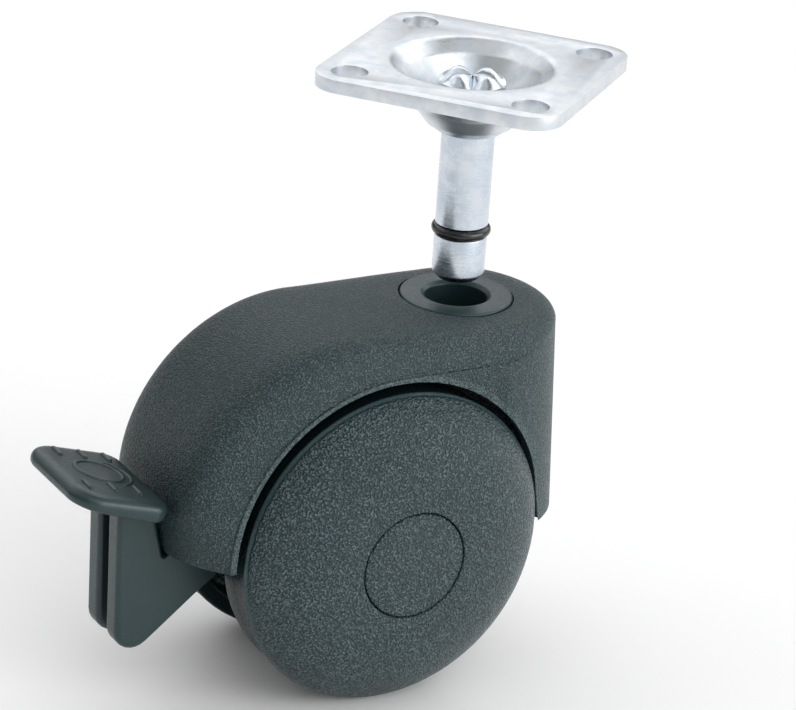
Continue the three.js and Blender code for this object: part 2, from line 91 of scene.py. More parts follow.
SHARP_DEGREES = 38
WELD_DISTANCE = 2e-6


def tidy(obj, sharp_degrees=SHARP_DEGREES):
    """Welds doubles, turns normals outward, shades smooth and keeps real edges sharp."""
    bm = bmesh.new()
    bm.from_mesh(obj.data)
    bmesh.ops.remove_doubles(bm, verts=bm.verts, dist=WELD_DISTANCE)
    bmesh.ops.dissolve_degenerate(bm, edges=bm.edges, dist=1e-7)
    bmesh.ops.recalc_face_normals(bm, faces=bm.faces)
    limit = math.radians(sharp_degrees)
    for face in bm.faces:
        face.smooth = True
    for edge in bm.edges:
        edge.smooth = len(edge.link_faces) == 2 and edge.calc_face_angle(0) < limit
    bm.to_mesh(obj.data)
    bm.free()


def apply_modifiers(obj):
    graph = bpy.context.evaluated_depsgraph_get()
    mesh = bpy.data.meshes.new_from_object(obj.evaluated_get(graph))
    obj.modifiers.clear()
    obj.data = mesh


def boolean(obj, other, operation):
    """Joins or cuts obj with other, and removes other."""
    bpy.context.view_layer.update()
    modifier = obj.modifiers.new("boolean", "BOOLEAN")
    modifier.operation = operation
    modifier.object = other
    modifier.solver = "EXACT"
    apply_modifiers(obj)
    bpy.data.objects.remove(other)


def bevel(obj, width, segments, degrees):
    """Rounds every edge that is sharper than an angle."""
    modifier = obj.modifiers.new("bevel", "BEVEL")
    modifier.width = width * MM
    modifier.segments = segments
    modifier.limit_method = "ANGLE"
    modifier.angle_limit = math.radians(degrees)
    modifier.harden_normals = False
    apply_modifiers(obj)


def even_normals(obj):
    """Keeps large flat faces flat where they meet rounded edges."""
    modifier = obj.modifiers.new("normals", "WEIGHTED_NORMAL")
    modifier.keep_sharp = True
    apply_modifiers(obj)


def rounded(corners, segments=5):
    """A closed outline [(a, b, fillet)] with each corner replaced by an arc of its fillet radius."""
    points = []
    count = len(corners)
    for i, (a, b, fillet) in enumerate(corners):
        here = np.array([a, b], float)
        before = np.array(corners[i - 1][:2], float)
        after = np.array(corners[(i + 1) % count][:2], float)
        if fillet <= 0:
            points.append(tuple(here))
            continue
        to_before = (before - here) / np.linalg.norm(before - here)
        to_after = (after - here) / np.linalg.norm(after - here)
        half = math.acos(np.clip(to_before @ to_after, -1, 1)) / 2
        reach = fillet / math.tan(half)
        start = here + to_before * reach
        end = here + to_after * reach
        middle = to_before + to_after
        middle /= np.linalg.norm(middle)
        centre = here + middle * fillet / math.sin(half)
        first = math.atan2(*(start - centre)[::-1])
        turn = math.atan2(*(end - centre)[::-1]) - first
        turn = (turn + math.pi) % (2 * math.pi) - math.pi
        for k in range(segments + 1):
            angle = first + turn * k / segments
            points.append((centre[0] + fillet * math.cos(angle), centre[1] + fillet * math.sin(angle)))
    return points


def turned(name, outline, origin, axis="Y", steps=160):
    """A solid of revolution: outline is [(radius, height)] closed on itself, about Y or Z."""
    verts = []
    count = len(outline)
    for step in range(steps):
        angle = 2 * math.pi * step / steps
        for radius, height in outline:
            across, along = radius * math.cos(angle), radius * math.sin(angle)
            verts.append((across, height, along) if axis == "Y" else (across, along, height))
    faces = []
    for step in range(steps):
        ahead = (step + 1) % steps
        for i in range(count):
            j = (i + 1) % count
            faces.append((step * count + i, step * count + j, ahead * count + j, ahead * count + i))
    return new_object(name, verts, faces, origin)


def ring_faces(count, rings):
    """Quads between neighbouring rings of count points each."""
    return [(ring * count + i, ring * count + (i + 1) % count,
             (ring + 1) * count + (i + 1) % count, (ring + 1) * count + i)
            for ring in range(rings - 1) for i in range(count)]


def end_faces(count, rings):
    """The two closing faces of a stack of rings."""
    return [tuple(range(count)), tuple(range(rings * count - 1, (rings - 1) * count - 1, -1))]


def prism(name, outline, from_y, to_y):
    """A solid with an outline in X and Z, from from_y to to_y."""
    verts = [(x, y, z) for y in (from_y, to_y) for x, z in outline]
    return new_object(name, verts, end_faces(len(outline), 2) + ring_faces(len(outline), 2))


def upright(name, outline, from_z, to_z, origin=AXLE):
    """A solid with an outline in X and Y, from from_z to to_z."""
    verts = [(x, y, z) for z in (from_z, to_z) for x, y in outline]
    return new_object(name, verts, end_faces(len(outline), 2) + ring_faces(len(outline), 2), origin)


def soft_prism(name, outline, from_y, to_y, edge_radius):
    """A prism whose rims are rounded; edge_radius(x) is the rounding at a point of the outline."""
    points = np.array(outline, float)
    ahead = np.roll(points, -1, axis=0) - points
    ahead /= np.linalg.norm(ahead, axis=1)[:, None]
    along = ahead + np.roll(ahead, 1, axis=0)
    along /= np.linalg.norm(along, axis=1)[:, None]
    x, z = points[:, 0], points[:, 1]
    turning = np.sign(np.sum(x * np.roll(z, -1) - np.roll(x, -1) * z))
    inward = np.stack([-along[:, 1], along[:, 0]], axis=1) * turning
    radii = np.array([edge_radius(value) for value in x])
    quarter = np.linspace(0, math.pi / 2, 6)
    rings = [(1 - math.sin(t), from_y, 1 - math.cos(t)) for t in quarter]
    rings += [(1 - math.sin(t), to_y, math.cos(t) - 1) for t in quarter[::-1]]
    verts = []
    for share, side_y, lift in rings:
        moved = points + inward * (radii * share)[:, None]
        verts += [(px, side_y + radius * lift, pz) for (px, pz), radius in zip(moved, radii)]
    faces = ring_faces(len(points), len(rings)) + end_faces(len(points), len(rings))
    return new_object(name, verts, faces)


def circle(radius, x=0.0, y=0.0, steps=96):
    return [(x + radius * math.cos(2 * math.pi * k / steps), y + radius * math.sin(2 * math.pi * k / steps))
            for k in range(steps)]


def cross_bore(name, radius, origin, steps):
    """A cutter along Y, longer than anything it cuts."""
    return turned(name, [(0, -12), (radius, -12), (radius, 12), (0, 12)], origin, steps=steps)


def block(name, low, high):
    """A box between two corners."""
    outline = [(low[0], low[1]), (high[0], low[1]), (high[0], high[1]), (low[0], high[1])]
    return upright(name, outline, low[2], high[2])


def smoothstep(t):
    t = min(max(t, 0.0), 1.0)
    return t * t * (3 - 2 * t)


def mix(a, b, share):
    return a + (b - a) * share


# ------------------------------------------------------------------ materials

def linear(hex_colour):
    """Linear RGB from an sRGB hex string."""
    channels = [int(hex_colour[i:i + 2], 16) / 255 for i in (0, 2, 4)]
    return [c / 12.92 if c <= 0.04045 else ((c + 0.055) / 1.055) ** 2.4 for c in channels] + [1.0]


class Shader:
    """A small builder for one node material."""

    def __init__(self, name):
        self.material = bpy.data.materials.new(name)
        self.material.use_nodes = True
        self.tree = self.material.node_tree
        self.surface = self.tree.nodes["Principled BSDF"]
        self.place = self.node("ShaderNodeTexCoord").outputs["Object"]

    def node(self, kind, **settings):
        node = self.tree.nodes.new(kind)
        for key, value in settings.items():
            setattr(node, key, value)
        return node

    def link(self, source, target):
        self.tree.links.new(source, target)

    def feed(self, node, **inputs):
        """Sets or links inputs by name; an underscore stands for a space."""
        for key, value in inputs.items():
            socket = node.inputs[key.replace("_", " ")]
            if isinstance(value, bpy.types.NodeSocket):
                self.link(value, socket)
            else:
                socket.default_value = value
        return node

    def noise(self, size_mm, detail=3.0, rough=0.5, vector=None, distortion=0.0):
        node = self.node("ShaderNodeTexNoise")
        self.feed(node, Vector=vector or self.place, Scale=1 / (size_mm * MM), Detail=detail,
                  Roughness=rough, Distortion=distortion)
        return node.outputs["Fac"]

    def cells(self, size_mm):
        node = self.node("ShaderNodeTexVoronoi", feature="SMOOTH_F1")
        self.feed(node, Vector=self.place, Scale=1 / (size_mm * MM))
        return node.outputs["Distance"]

    def scaled_place(self, factors):
        node = self.node("ShaderNodeMapping")
        self.feed(node, Vector=self.place, Scale=factors)
        return node.outputs["Vector"]

    def math(self, operation, a, b=0.0, clamp=False):
        node = self.node("ShaderNodeMath", operation=operation, use_clamp=clamp)
        for socket, value in zip(node.inputs, (a, b)):
            if isinstance(value, bpy.types.NodeSocket):
                self.link(value, socket)
            else:
                socket.default_value = value
        return node.outputs[0]

    def distance_xz(self, split, x_mm, z_mm):
        """Distance from a line along Y through (x_mm, z_mm)."""
        across = self.math("POWER", self.math("SUBTRACT", split.outputs["X"], x_mm * MM), 2.0)
        along = self.math("POWER", self.math("SUBTRACT", split.outputs["Z"], z_mm * MM), 2.0)
        return self.math("SQRT", self.math("ADD", across, along))

    def ramp(self, value, low, high, to_low=0.0, to_high=1.0):
        node = self.node("ShaderNodeMapRange", interpolation_type="SMOOTHSTEP")
        self.feed(node, Value=value, From_Min=low, From_Max=high, To_Min=to_low, To_Max=to_high)
        return node.outputs["Result"]

    def mix_colours(self, factor, first, second):
        node = self.node("ShaderNodeMix", data_type="RGBA")
        for socket, value in ((node.inputs[0], factor), (node.inputs[6], first), (node.inputs[7], second)):
            if isinstance(value, bpy.types.NodeSocket):
                self.link(value, socket)
            else:
                socket.default_value = value
        return node.outputs[2]

    def edge_highlight_mask(self):
        """1 on outer edges, 0 on flat faces."""
        pointiness = self.node("ShaderNodeNewGeometry").outputs["Pointiness"]
        return self.ramp(pointiness, 0.53, 0.62)

    def bump(self, height, depth_mm):
        node = self.node("ShaderNodeBump")
        self.feed(node, Height=height, Distance=depth_mm * MM, Strength=1.0)
        self.link(node.outputs["Normal"], self.surface.inputs["Normal"])


def shade(base, factor):
    """A colour made darker or lighter by a factor."""
    return [min(c * factor, 1) for c in base[:3]] + [1.0]


def plastic(name, colour, grain_mm, grain_depth_mm, roughness, painted_grain_light, wheel=False, arch=False):
    """Moulded nylon: pebble grain in bump, with painted shade in its hollows and painted highlights on its
    peaks, faint mottling and a painted highlight on sharp outer edges.

    A wheel keeps the coarse grain on its outer face and has a smooth tread darkened by painted shade. A hood
    has a painted highlight along the rim bead of its wheel arch.
    paler rim along its wheel arch."""
    shader = Shader(name)
    base = linear(colour)
    pebbles = shader.ramp(shader.cells(grain_mm), 0.15, 0.75, 1.0, 0.0)
    wrinkles = shader.noise(grain_mm * 0.9, 2.0, 0.5, distortion=0.8)
    relief = shader.math("ADD", shader.math("MULTIPLY", pebbles, 0.5),
                         shader.math("MULTIPLY", wrinkles, 0.5))
    split = shader.node("ShaderNodeSeparateXYZ")
    shader.link(shader.place, split.inputs[0])
    aside = shader.math("ABSOLUTE", split.outputs["Y"])
    grain = relief
    if wheel:
        radius = shader.distance_xz(split, 0.0, 0.0)
        inside = shader.ramp(radius, GRAIN_RADIUS * MM, (GRAIN_RADIUS + 0.5) * MM, 1.0, 0.0)
        mask = shader.math("MULTIPLY", inside, shader.ramp(aside, 15.6 * MM, 16.4 * MM))
        grain = shader.math("MULTIPLY", relief, shader.ramp(mask, 0.0, 1.0, 0.06, 1.0))
        painted_grain_light = shader.math("MULTIPLY", mask, painted_grain_light)
    shader.bump(grain, grain_depth_mm)
    mottling = shader.noise(9.0, 3.0, 0.6)
    tone = shader.mix_colours(shader.ramp(mottling, 0.35, 0.65), shade(base, 0.96), shade(base, 1.05))
    # Painted highlight: a paler band along the rim bead of the hood's wheel arch.
    if arch:
        distance = shader.distance_xz(split, ARCH_X, ARCH_Z)
        rim = shader.math("MULTIPLY", shader.ramp(distance, 26.7 * MM, 27.2 * MM, 1.0, 0.0),
                          shader.ramp(aside, 15.0 * MM, 15.3 * MM))
        tone = shader.mix_colours(shader.math("MULTIPLY", rim, 0.9), tone, linear(RIM_HIGHLIGHT))
    # Painted highlight: sharp outer edges are made paler.
    tone = shader.mix_colours(shader.math("MULTIPLY", shader.edge_highlight_mask(), 0.55), tone, shade(base, 1.9))
    # Painted shade in the grain's hollows and painted highlights on its peaks.
    tone = shader.mix_colours(shader.ramp(relief, 0.35, 0.6, painted_grain_light, 0.0), tone, shade(base, 0.4))
    tone = shader.mix_colours(shader.ramp(relief, 0.58, 0.78, 0.0, painted_grain_light), tone, linear(GRAIN_HIGHLIGHT))
    shader.feed(shader.surface, Specular_IOR_Level=0.5, Specular_Tint=SHEEN)
    if wheel:
        # Painted shade: the tread, which lies in shade under the hood, is darkened.
        tread = shader.ramp(aside, 15.1 * MM, 15.5 * MM)
        tone = shader.mix_colours(tread, shade(base, 0.35), tone)
        shader.link(shader.ramp(tread, 0.0, 1.0, 0.08, 0.5), shader.surface.inputs["Specular IOR Level"])
    shader.link(tone, shader.surface.inputs["Base Color"])
    speckle = shader.noise(grain_mm * 0.9, 1.0, 0.5)
    shader.link(shader.ramp(speckle, 0.3, 0.7, roughness + 0.08, roughness - 0.08),
                shader.surface.inputs["Roughness"])
    return shader.material


def zinc(name, colour, roughness, streak=(1, 1, 1), streak_mm=0.5, depth_mm=0.004):
    """Bright zinc plating: soft blotches and fine streaks from pressing or turning."""
    shader = Shader(name)
    blotches = shader.noise(3.2, 4.0, 0.6)
    streaks = shader.noise(streak_mm, 3.0, 0.6, shader.scaled_place(streak))
    base = linear(colour)
    cooler = [base[0] * 0.82, base[1] * 0.87, base[2] * 0.92, 1.0]
    tone = shader.mix_colours(shader.ramp(blotches, 0.35, 0.7), base, cooler)
    shader.feed(shader.surface, Base_Color=tone, Metallic=1.0)
    rough = shader.math("ADD", shader.ramp(blotches, 0.3, 0.7, roughness - 0.05, roughness + 0.05),
                        shader.ramp(streaks, 0.3, 0.7, -0.04, 0.05))
    shader.link(rough, shader.surface.inputs["Roughness"])
    shader.bump(streaks, depth_mm)
    return shader.material


def glossy_black(name):
    """Blackened and oiled spring steel."""
    shader = Shader(name)
    smear = shader.noise(0.9, 3.0, 0.6)
    tone = shader.mix_colours(shader.ramp(smear, 0.4, 0.7), linear("0b0c0d"), linear("1d1f21"))
    shader.feed(shader.surface, Base_Color=tone, Specular_IOR_Level=0.6)
    shader.link(shader.ramp(smear, 0.3, 0.7, 0.16, 0.3), shader.surface.inputs["Roughness"])
    shader.bump(smear, 0.01)
    return shader.material


HOOD_COLOUR = "1c2f32"
WHEEL_COLOUR = "293d40"
# Colour of the painted highlights on the grain's peaks.
GRAIN_HIGHLIGHT = "5d6b6d"
SHEEN = (0.87, 0.98, 1.0, 1.0)
# Colour of the painted highlight along the hood's arch rim.
RIM_HIGHLIGHT = "4c595b"
PEDAL_COLOUR = "233334"
GRAIN_RADIUS = 24.4
# The circle of the hood's wheel arch, from the axle.
ARCH_RADIUS = 25.95
ARCH_X = -0.2
ARCH_Z = 0.6

LOOKS = {
    "hood_plastic": plastic("hood_grain", HOOD_COLOUR, 0.26, 0.24, 0.4, 0.6, arch=True),
    "collar_plastic": plastic("collar_satin", HOOD_COLOUR, 0.3, 0.01, 0.36, 0.04),
    "wheel_plastic": plastic("wheel_wrinkle", WHEEL_COLOUR, 0.32, 0.5, 0.3, 0.85, wheel=True),
    "cap_plastic": plastic("cap_grain", WHEEL_COLOUR, 0.32, 0.45, 0.3, 0.85),
    "pedal_plastic": plastic("pedal_satin", PEDAL_COLOUR, 0.3, 0.014, 0.36, 0.05),
    "inner_plastic": plastic("inner_smooth", "2b3133", 0.3, 0.01, 0.45, 0.05),
    "zinc_plate": zinc("zinc_pressed", "dcdfe2", 0.36),
    "zinc_pin": zinc("zinc_turned", "d3d9e0", 0.26, (0.12, 0.12, 1.6), 0.35, 0.003),
    "steel": zinc("drawn_steel", "b9bdc1", 0.3, (1, 0.1, 1), 0.3),
    "spring_steel": zinc("spring_steel", "8d9296", 0.32, (1, 1, 1), 0.3),
    "black_ring": glossy_black("blackened_ring"),
}


def finish_piece(obj, body, slot, *nodes):
    """Gives a piece its look, lets it ride on its body and stand for its CAD nodes."""
    obj.data.materials.clear()
    obj.data.materials.append(LOOKS[slot])
    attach(obj, body)
    if nodes:
        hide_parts(*nodes)
    return obj


# ------------------------------------------------------------------ wheels

SHOULDER_Y = 15.4
FACE_Y = 22.3
DOME_POWER = 4.5
DOME_ROOT = 1.15
TREAD_STEP = 0.25
WHEEL_WALL = 2.2
HUB_RADIUS = 7.2
CAP_RADIUS = 8.3
CAP_FLOOR_Y = 20.6
GEAR_Y = (8.2, 11.0)
HUB_TEETH = 24
# The ribs behind the face: (radius, distance from the middle plane).
RIB_OUTLINE = [(6.7, 11.4), (22.6, 11.4), (22.6, 15.8), (20.0, 18.3), (14.0, 20.2), (6.7, 20.2)]


def dome_y(radius):
    """Height of the wheel's outer face: a crowned face that meets the tread at a crisp rim."""
    share = max(0.0, 1 - (radius / WHEEL_RADIUS) ** DOME_POWER) ** (1 / DOME_ROOT)
    return mix(SHOULDER_Y, FACE_Y, share)


def wheel_outline():
    pocket = CAP_RADIUS + 0.2
    rim = WHEEL_RADIUS - 2.8
    outline = [(3.1, 7.6), (3.1, 18.2), (5.6, 18.2), (5.6, CAP_FLOOR_Y), (pocket, CAP_FLOOR_Y),
               (pocket, dome_y(pocket) - 0.25), (pocket + 0.07, dome_y(pocket) - 0.07),
               (pocket + 0.25, dome_y(pocket + 0.25))]
    turns = 44
    for k in range(1, turns + 1):
        radius = mix(pocket + 0.25, WHEEL_RADIUS - 0.12, math.sin(math.pi / 2 * k / turns))
        outline.append((radius, dome_y(radius)))
    tread = WHEEL_RADIUS - TREAD_STEP
    outline += [(WHEEL_RADIUS - 0.03, SHOULDER_Y + 0.1), (WHEEL_RADIUS, SHOULDER_Y - 0.02),
                (WHEEL_RADIUS - 0.03, SHOULDER_Y - 0.12), (tread + 0.05, SHOULDER_Y - 0.24),
                (tread, SHOULDER_Y - 0.4), (tread, 12.0), (tread, 9.0), (tread - 0.12, 8.5),
                (tread - 0.4, 8.12), (tread - 0.8, 8.0), (rim + 0.3, 8.0), (rim, 8.3)]
    outline += [(rim, dome_y(rim) - WHEEL_WALL - 1), (rim - 0.6, dome_y(rim - 1) - WHEEL_WALL - 0.7),
                (rim - 2, dome_y(rim - 2) - WHEEL_WALL), (14, dome_y(14) - WHEEL_WALL),
                (HUB_RADIUS + 1, dome_y(HUB_RADIUS) - WHEEL_WALL - 0.5),
                (HUB_RADIUS, dome_y(HUB_RADIUS) - WHEEL_WALL - 1.2),
                (HUB_RADIUS, GEAR_Y[0]), (HUB_RADIUS - 1.8, 7.6)]
    return outline


def hub_gear(name):
    """The toothed ring that the brake pin drops into, with rounded tooth tips."""
    outline = []
    for tooth in range(HUB_TEETH):
        centre = (tooth + 0.5) * 2 * math.pi / HUB_TEETH
        for radius, side in ((10, -0.62), (10.2, -0.46), (11.3, -0.42), (11.5, -0.3),
                             (11.5, 0.3), (11.3, 0.42), (10.2, 0.46), (10, 0.62)):
            angle = centre + math.asin(side / radius)
            outline.append((radius * math.cos(angle), radius * math.sin(angle)))
    return prism(name, outline, *GEAR_Y)


def build_wheel(side, facing):
    """facing is +1 for the left wheel and -1 for the right one."""
    wheel = turned(f"{side}_wheel_moulding", wheel_outline(), AXLE, steps=180)
    gear = hub_gear("gear")
    boolean(gear, turned("gear_bore", [(0, 0), (6, 0), (6, 20), (0, 20)], AXLE, steps=64), "DIFFERENCE")
    boolean(wheel, gear, "UNION")
    for rib in range(6):
        blade = upright("rib", RIB_OUTLINE, -0.7, 0.7)
        blade.rotation_euler = Euler((0, (rib + 0.5) * math.pi / 3, 0))
        boolean(wheel, blade, "UNION")
    tidy(wheel)
    if facing < 0:
        wheel.data.transform(Matrix.Rotation(math.pi, 4, "Z"))
    finish_piece(wheel, f"{side}_roller", "wheel_plastic", f"{side}_wheel")

    cap_outline = rounded([(CAP_RADIUS - 0.5, CAP_FLOOR_Y + 0.15, 0.1), (CAP_RADIUS, CAP_FLOOR_Y + 0.5, 0.1),
                           (CAP_RADIUS, FACE_Y - 0.1, 0.28), (7.0, FACE_Y + 0.08, 0)])
    cap_outline += [(r, FACE_Y + 0.25 - 0.0035 * r * r) for r in (5.6, 4.2, 2.8, 1.4, 0)]
    cap_outline += [(0, CAP_FLOOR_Y + 0.15)]
    cap = turned(f"{side}_hub_cap_dome", cap_outline, AXLE, steps=144)
    if facing < 0:
        cap.data.transform(Matrix.Rotation(math.pi, 4, "Z"))
    finish_piece(cap, f"{side}_roller", "cap_plastic", f"{side}_hub_cap")


# ------------------------------------------------------------------ hood

HALF_WIDTH = 15.4
WALL = 1.8
TOP_Z = COLLAR_Z - 0.4
SEAT_Z = COLLAR_Z - 0.95
CREASE_RADIUS = 27.2
INNER_CREASE_RADIUS = 26.9
CREASE_FRONT_Z = 27.0
FRONT_RISE = 2.6
ROOF_EDGE = 0.4
CROWN_RADIUS = 26.76
CROWN_X = -6.7
CROWN_TOP = COLLAR_Z + 0.46
CROWN_Z = CROWN_TOP - CROWN_RADIUS
FLARE = 0.05
REAR_BOTTOM_Z = 0.4
FRONT_BOTTOM_Z = -1.0
REAR_ROWS = 44
ROOF_ROWS = 20
FRONT_ROWS = 56
ACROSS = 26
STRIP = 3
ROOF_POWER = 7.5
ROOF_ROOT = 1.2
FRONT_POWER = 8.5
FRONT_ROOT = 1.65
BEAD_AT_STEM = 0.5
# The rim bead along the wheel arch: (drop below the crease, distance inside the side plane).
BEAD = [(0.0, 0.3), (0.03, 0.17), (0.1, 0.07), (0.2, 0.015), (0.32, 0.0)]
INNER_BEAD = 0.3


def crown_share(u, power, root):
    return max(0.0, 1 - abs(u) ** power) ** (1 / root)


def across_values():
    """u from 0 to 1, closer together near the crease."""
    return [math.sin(math.pi / 2 * k / ACROSS) for k in range(ACROSS + 1)]


def arc_point(centre_x, centre_z, radius, share):
    start = math.pi - math.asin((REAR_BOTTOM_Z - centre_z) / radius)
    angle = mix(start, math.pi / 2, share)
    return np.array([centre_x + radius * math.cos(angle), centre_z + radius * math.sin(angle)])


def crease_and_crown(row, inset):
    """The crease point and the crown point (x, z) of a row from the rear bottom to the stem axis."""
    side_radius = INNER_CREASE_RADIUS if inset else CREASE_RADIUS
    side_drop = CREASE_RADIUS - side_radius
    if row <= REAR_ROWS:
        share = row / REAR_ROWS
        return arc_point(0, 0, side_radius, share), arc_point(CROWN_X, CROWN_Z, CROWN_RADIUS - inset, share)
    share = (row - REAR_ROWS) / ROOF_ROWS
    crease = np.array([mix(0, STEM_X, share), mix(CREASE_RADIUS, CREASE_FRONT_Z, share) - side_drop])
    crown = np.array([mix(CROWN_X, STEM_X, share), mix(CROWN_TOP, TOP_Z, share) - inset])
    return crease, crown


def roof_row(row, inset):
    """Points across the roof at a row, with the bead on either side."""
    crease, crown = crease_and_crown(row, inset)
    rise = smoothstep((crown[1] - REAR_BOTTOM_Z) / 9)
    front = smoothstep((row - REAR_ROWS) / ROOF_ROWS)
    power = mix(mix(2.8, ROOF_POWER, rise), FRONT_POWER, front)
    root = mix(mix(1.0, ROOF_ROOT, rise), FRONT_ROOT, front)
    half = HALF_WIDTH - inset
    edge = half - ROOF_EDGE * bead_size(row)
    values = across_values()
    points = []
    for u in [-v for v in reversed(values)] + values[1:]:
        x, z = mix(crease, crown, crown_share(u, power, root))
        points.append((x, edge * u, z))
    down = crease / np.linalg.norm(crease) if crease[0] < 0 else np.array([0.0, 1.0])
    bead = []
    depth = INNER_BEAD if inset else 1.0
    for drop, aside in BEAD:
        x, z = crease - down * drop * depth
        bead.append((x, half - aside * bead_size(row), z))
    return [(x, -y, z) for x, y, z in reversed(bead)] + points + bead


def bead_size(row):
    """1 along the rear of the arch, smaller towards the stem axis."""
    share = (row - REAR_ROWS) / ROOF_ROWS
    return mix(1.0, BEAD_AT_STEM, smoothstep(share))


def strip_points(top, foot):
    """Points from the crease to the edge below it, without the crease point itself."""
    top, foot = np.array(top), np.array(foot)
    return [tuple(mix(top, foot, k / STRIP)) for k in range(1, STRIP + 1)]


def side_foot(crease, y):
    """Where a roof row's side panel ends: on the wheel arch."""
    x, z = crease
    if x < 0:
        away = math.hypot(x - ARCH_X, z - ARCH_Z)
        return np.array([mix(ARCH_X, x, ARCH_RADIUS / away), y, mix(ARCH_Z, z, ARCH_RADIUS / away)])
    return np.array([x, y, ARCH_Z + math.sqrt(ARCH_RADIUS ** 2 - (x - ARCH_X) ** 2)])


def arch_distance(point):
    return math.hypot(point[0] - ARCH_X, point[2] - ARCH_Z)


def full_row(row, inset):
    """One row of the skin from the right arch edge over the roof to the left arch edge."""
    roof = roof_row(row, inset)
    crease, _ = crease_and_crown(row, inset)
    half = HALF_WIDTH - inset
    right = strip_points(roof[0], side_foot(crease, -half))
    left = strip_points(roof[-1], side_foot(crease, half))
    return right[::-1] + roof + left


def front_crease_z(turn, inset):
    """The crease climbs a little from the sides to the very front."""
    drop = CREASE_RADIUS - INNER_CREASE_RADIUS if inset else 0
    return CREASE_FRONT_Z - drop + FRONT_RISE * smoothstep(math.cos(turn) / 0.85)


def front_point(turn, z, inset):
    radius = HALF_WIDTH - inset + FLARE * max(0.0, front_crease_z(turn, inset) - z)
    return np.array([STEM_X + radius * math.cos(turn), radius * math.sin(turn), z])


def front_foot(turn, inset):
    """Where the front wall ends at an angle about the stem: on the wheel arch or at the bottom."""
    top, bottom = front_crease_z(turn, inset), FRONT_BOTTOM_Z
    heights = [mix(bottom, top, k / 30) for k in range(31)]
    if all(arch_distance(front_point(turn, z, inset)) > ARCH_RADIUS for z in heights):
        return bottom
    for _ in range(40):
        middle = (top + bottom) / 2
        if arch_distance(front_point(turn, middle, inset)) > ARCH_RADIUS:
            top = middle
        else:
            bottom = middle
    return top


def front_row(index, inset):
    """One row of the front: from the stem axis over the roof edge and down the front wall."""
    turn = -math.pi / 2 + math.pi * index / FRONT_ROWS
    half = HALF_WIDTH - inset
    crease_z = front_crease_z(turn, inset)
    bead = BEAD_AT_STEM * (1 - smoothstep(math.cos(turn) / 0.6))
    points = []
    for u in across_values():
        z = mix(crease_z, TOP_Z - inset, crown_share(u, FRONT_POWER, FRONT_ROOT))
        reach = (half - ROOF_EDGE * bead) * u
        points.append((STEM_X + reach * math.cos(turn), reach * math.sin(turn), z))
    depth = INNER_BEAD if inset else 1.0
    for drop, aside in BEAD:
        reach = half - aside * bead
        points.append((STEM_X + reach * math.cos(turn), reach * math.sin(turn), crease_z - drop * depth))
    last_z = crease_z - BEAD[-1][0] * depth
    foot_z = front_foot(turn, inset)
    for k in range(1, STRIP + 1):
        points.append(tuple(front_point(turn, mix(last_z, foot_z, k / STRIP), inset)))
    return points


def skin(inset):
    """All skin points of the hood and its faces, plus the loop of its open edge."""
    verts, faces = [], []
    rows = []
    for row in range(REAR_ROWS + ROOF_ROWS + 1):
        rows.append(list(range(len(verts), len(verts) + 2 * (ACROSS + STRIP + len(BEAD)) + 1)))
        verts += full_row(row, inset)
    for a, b in zip(rows, rows[1:]):
        faces += [(a[i], a[i + 1], b[i + 1], b[i]) for i in range(len(a) - 1)]
    last = rows[-1]
    middle = ACROSS + STRIP + len(BEAD)
    fans = [[last[middle - k] for k in range(middle + 1)]]
    for index in range(1, FRONT_ROWS):
        points = front_row(index, inset)
        start = len(verts)
        verts += points[1:]
        fans.append([last[middle]] + list(range(start, start + len(points) - 1)))
    fans.append([last[middle + k] for k in range(middle + 1)])
    for a, b in zip(fans, fans[1:]):
        faces.append((a[0], a[1], b[1]))
        faces += [(a[i], a[i + 1], b[i + 1], b[i]) for i in range(1, len(a) - 1)]
    loop = rows[0] + [row[-1] for row in rows[1:]]
    loop += [fan[-1] for fan in reversed(fans[:-1])]
    loop += [row[0] for row in reversed(rows[:-1])]
    return verts, faces, loop[:-1]


def build_hood():
    outer, outer_faces, loop = skin(0)
    inner, inner_faces, _ = skin(WALL)
    shift = len(outer)
    faces = outer_faces + [tuple(shift + i for i in reversed(face)) for face in inner_faces]
    for a, b in zip(loop, loop[1:] + loop[:1]):
        faces.append((a, b, shift + b, shift + a))
    hood = new_object("hood_shell", outer + inner, faces)
    bevel(hood, 0.2, 3, 50)

    outline = rounded([(-31, REAR_BOTTOM_Z, 0), (-23, REAR_BOTTOM_Z - 0.6, 2), (-19.4, -4.2, 1.5),
                       (-5, -5.4, 2), (8, -4.6, 2), (12, -1, 1), (33, -1, 0), (33, 30.8, 0), (-31, 30.8, 0)])
    core = [block("front_rib", (STEM_X, -0.9, FRONT_BOTTOM_Z), (33.5, 0.9, 30.8))]
    for from_y in (-6.6, 5.3):
        core.append(prism("cheek", outline, from_y, from_y + 1.3))
    inside, _, _ = skin(0.8)
    limit = hull("limit", inside + [(x, y, -8) for x, y, z in inside if z < 6])
    for piece in core:
        boolean(piece, duplicate(limit), "INTERSECT")
        boolean(hood, piece, "UNION")
    bpy.data.objects.remove(limit)
    boss_outline = rounded([(0, -6.6, 0), (6.2, -6.6, 0.4), (6.2, 6.6, 0.4), (0, 6.6, 0)])
    boolean(hood, turned("axle_boss", boss_outline, AXLE, steps=96), "UNION")
    boolean(hood, upright("stem_boss", circle(7.0, STEM_X), 1.5, TOP_Z - 1.0), "UNION")
    cutters = [
        cross_bore("axle_bore", AXLE_BORE, AXLE, 72),
        upright("collar_bore", circle(6.1, STEM_X), 6.9, 40),
        upright("flange_seat", circle(8.85, STEM_X, steps=128), SEAT_Z - 0.1, 40),
        cross_bore("pivot_bore", PIVOT_BORE, PIVOT, 48),
        block("pin_window", (-14.0, -12, -1), (-10.3, 12, 1)),
    ]
    for cutter in cutters:
        boolean(hood, cutter, "DIFFERENCE")
    tidy(hood, 32)
    finish_piece(hood, "housing", "hood_plastic", "hood")


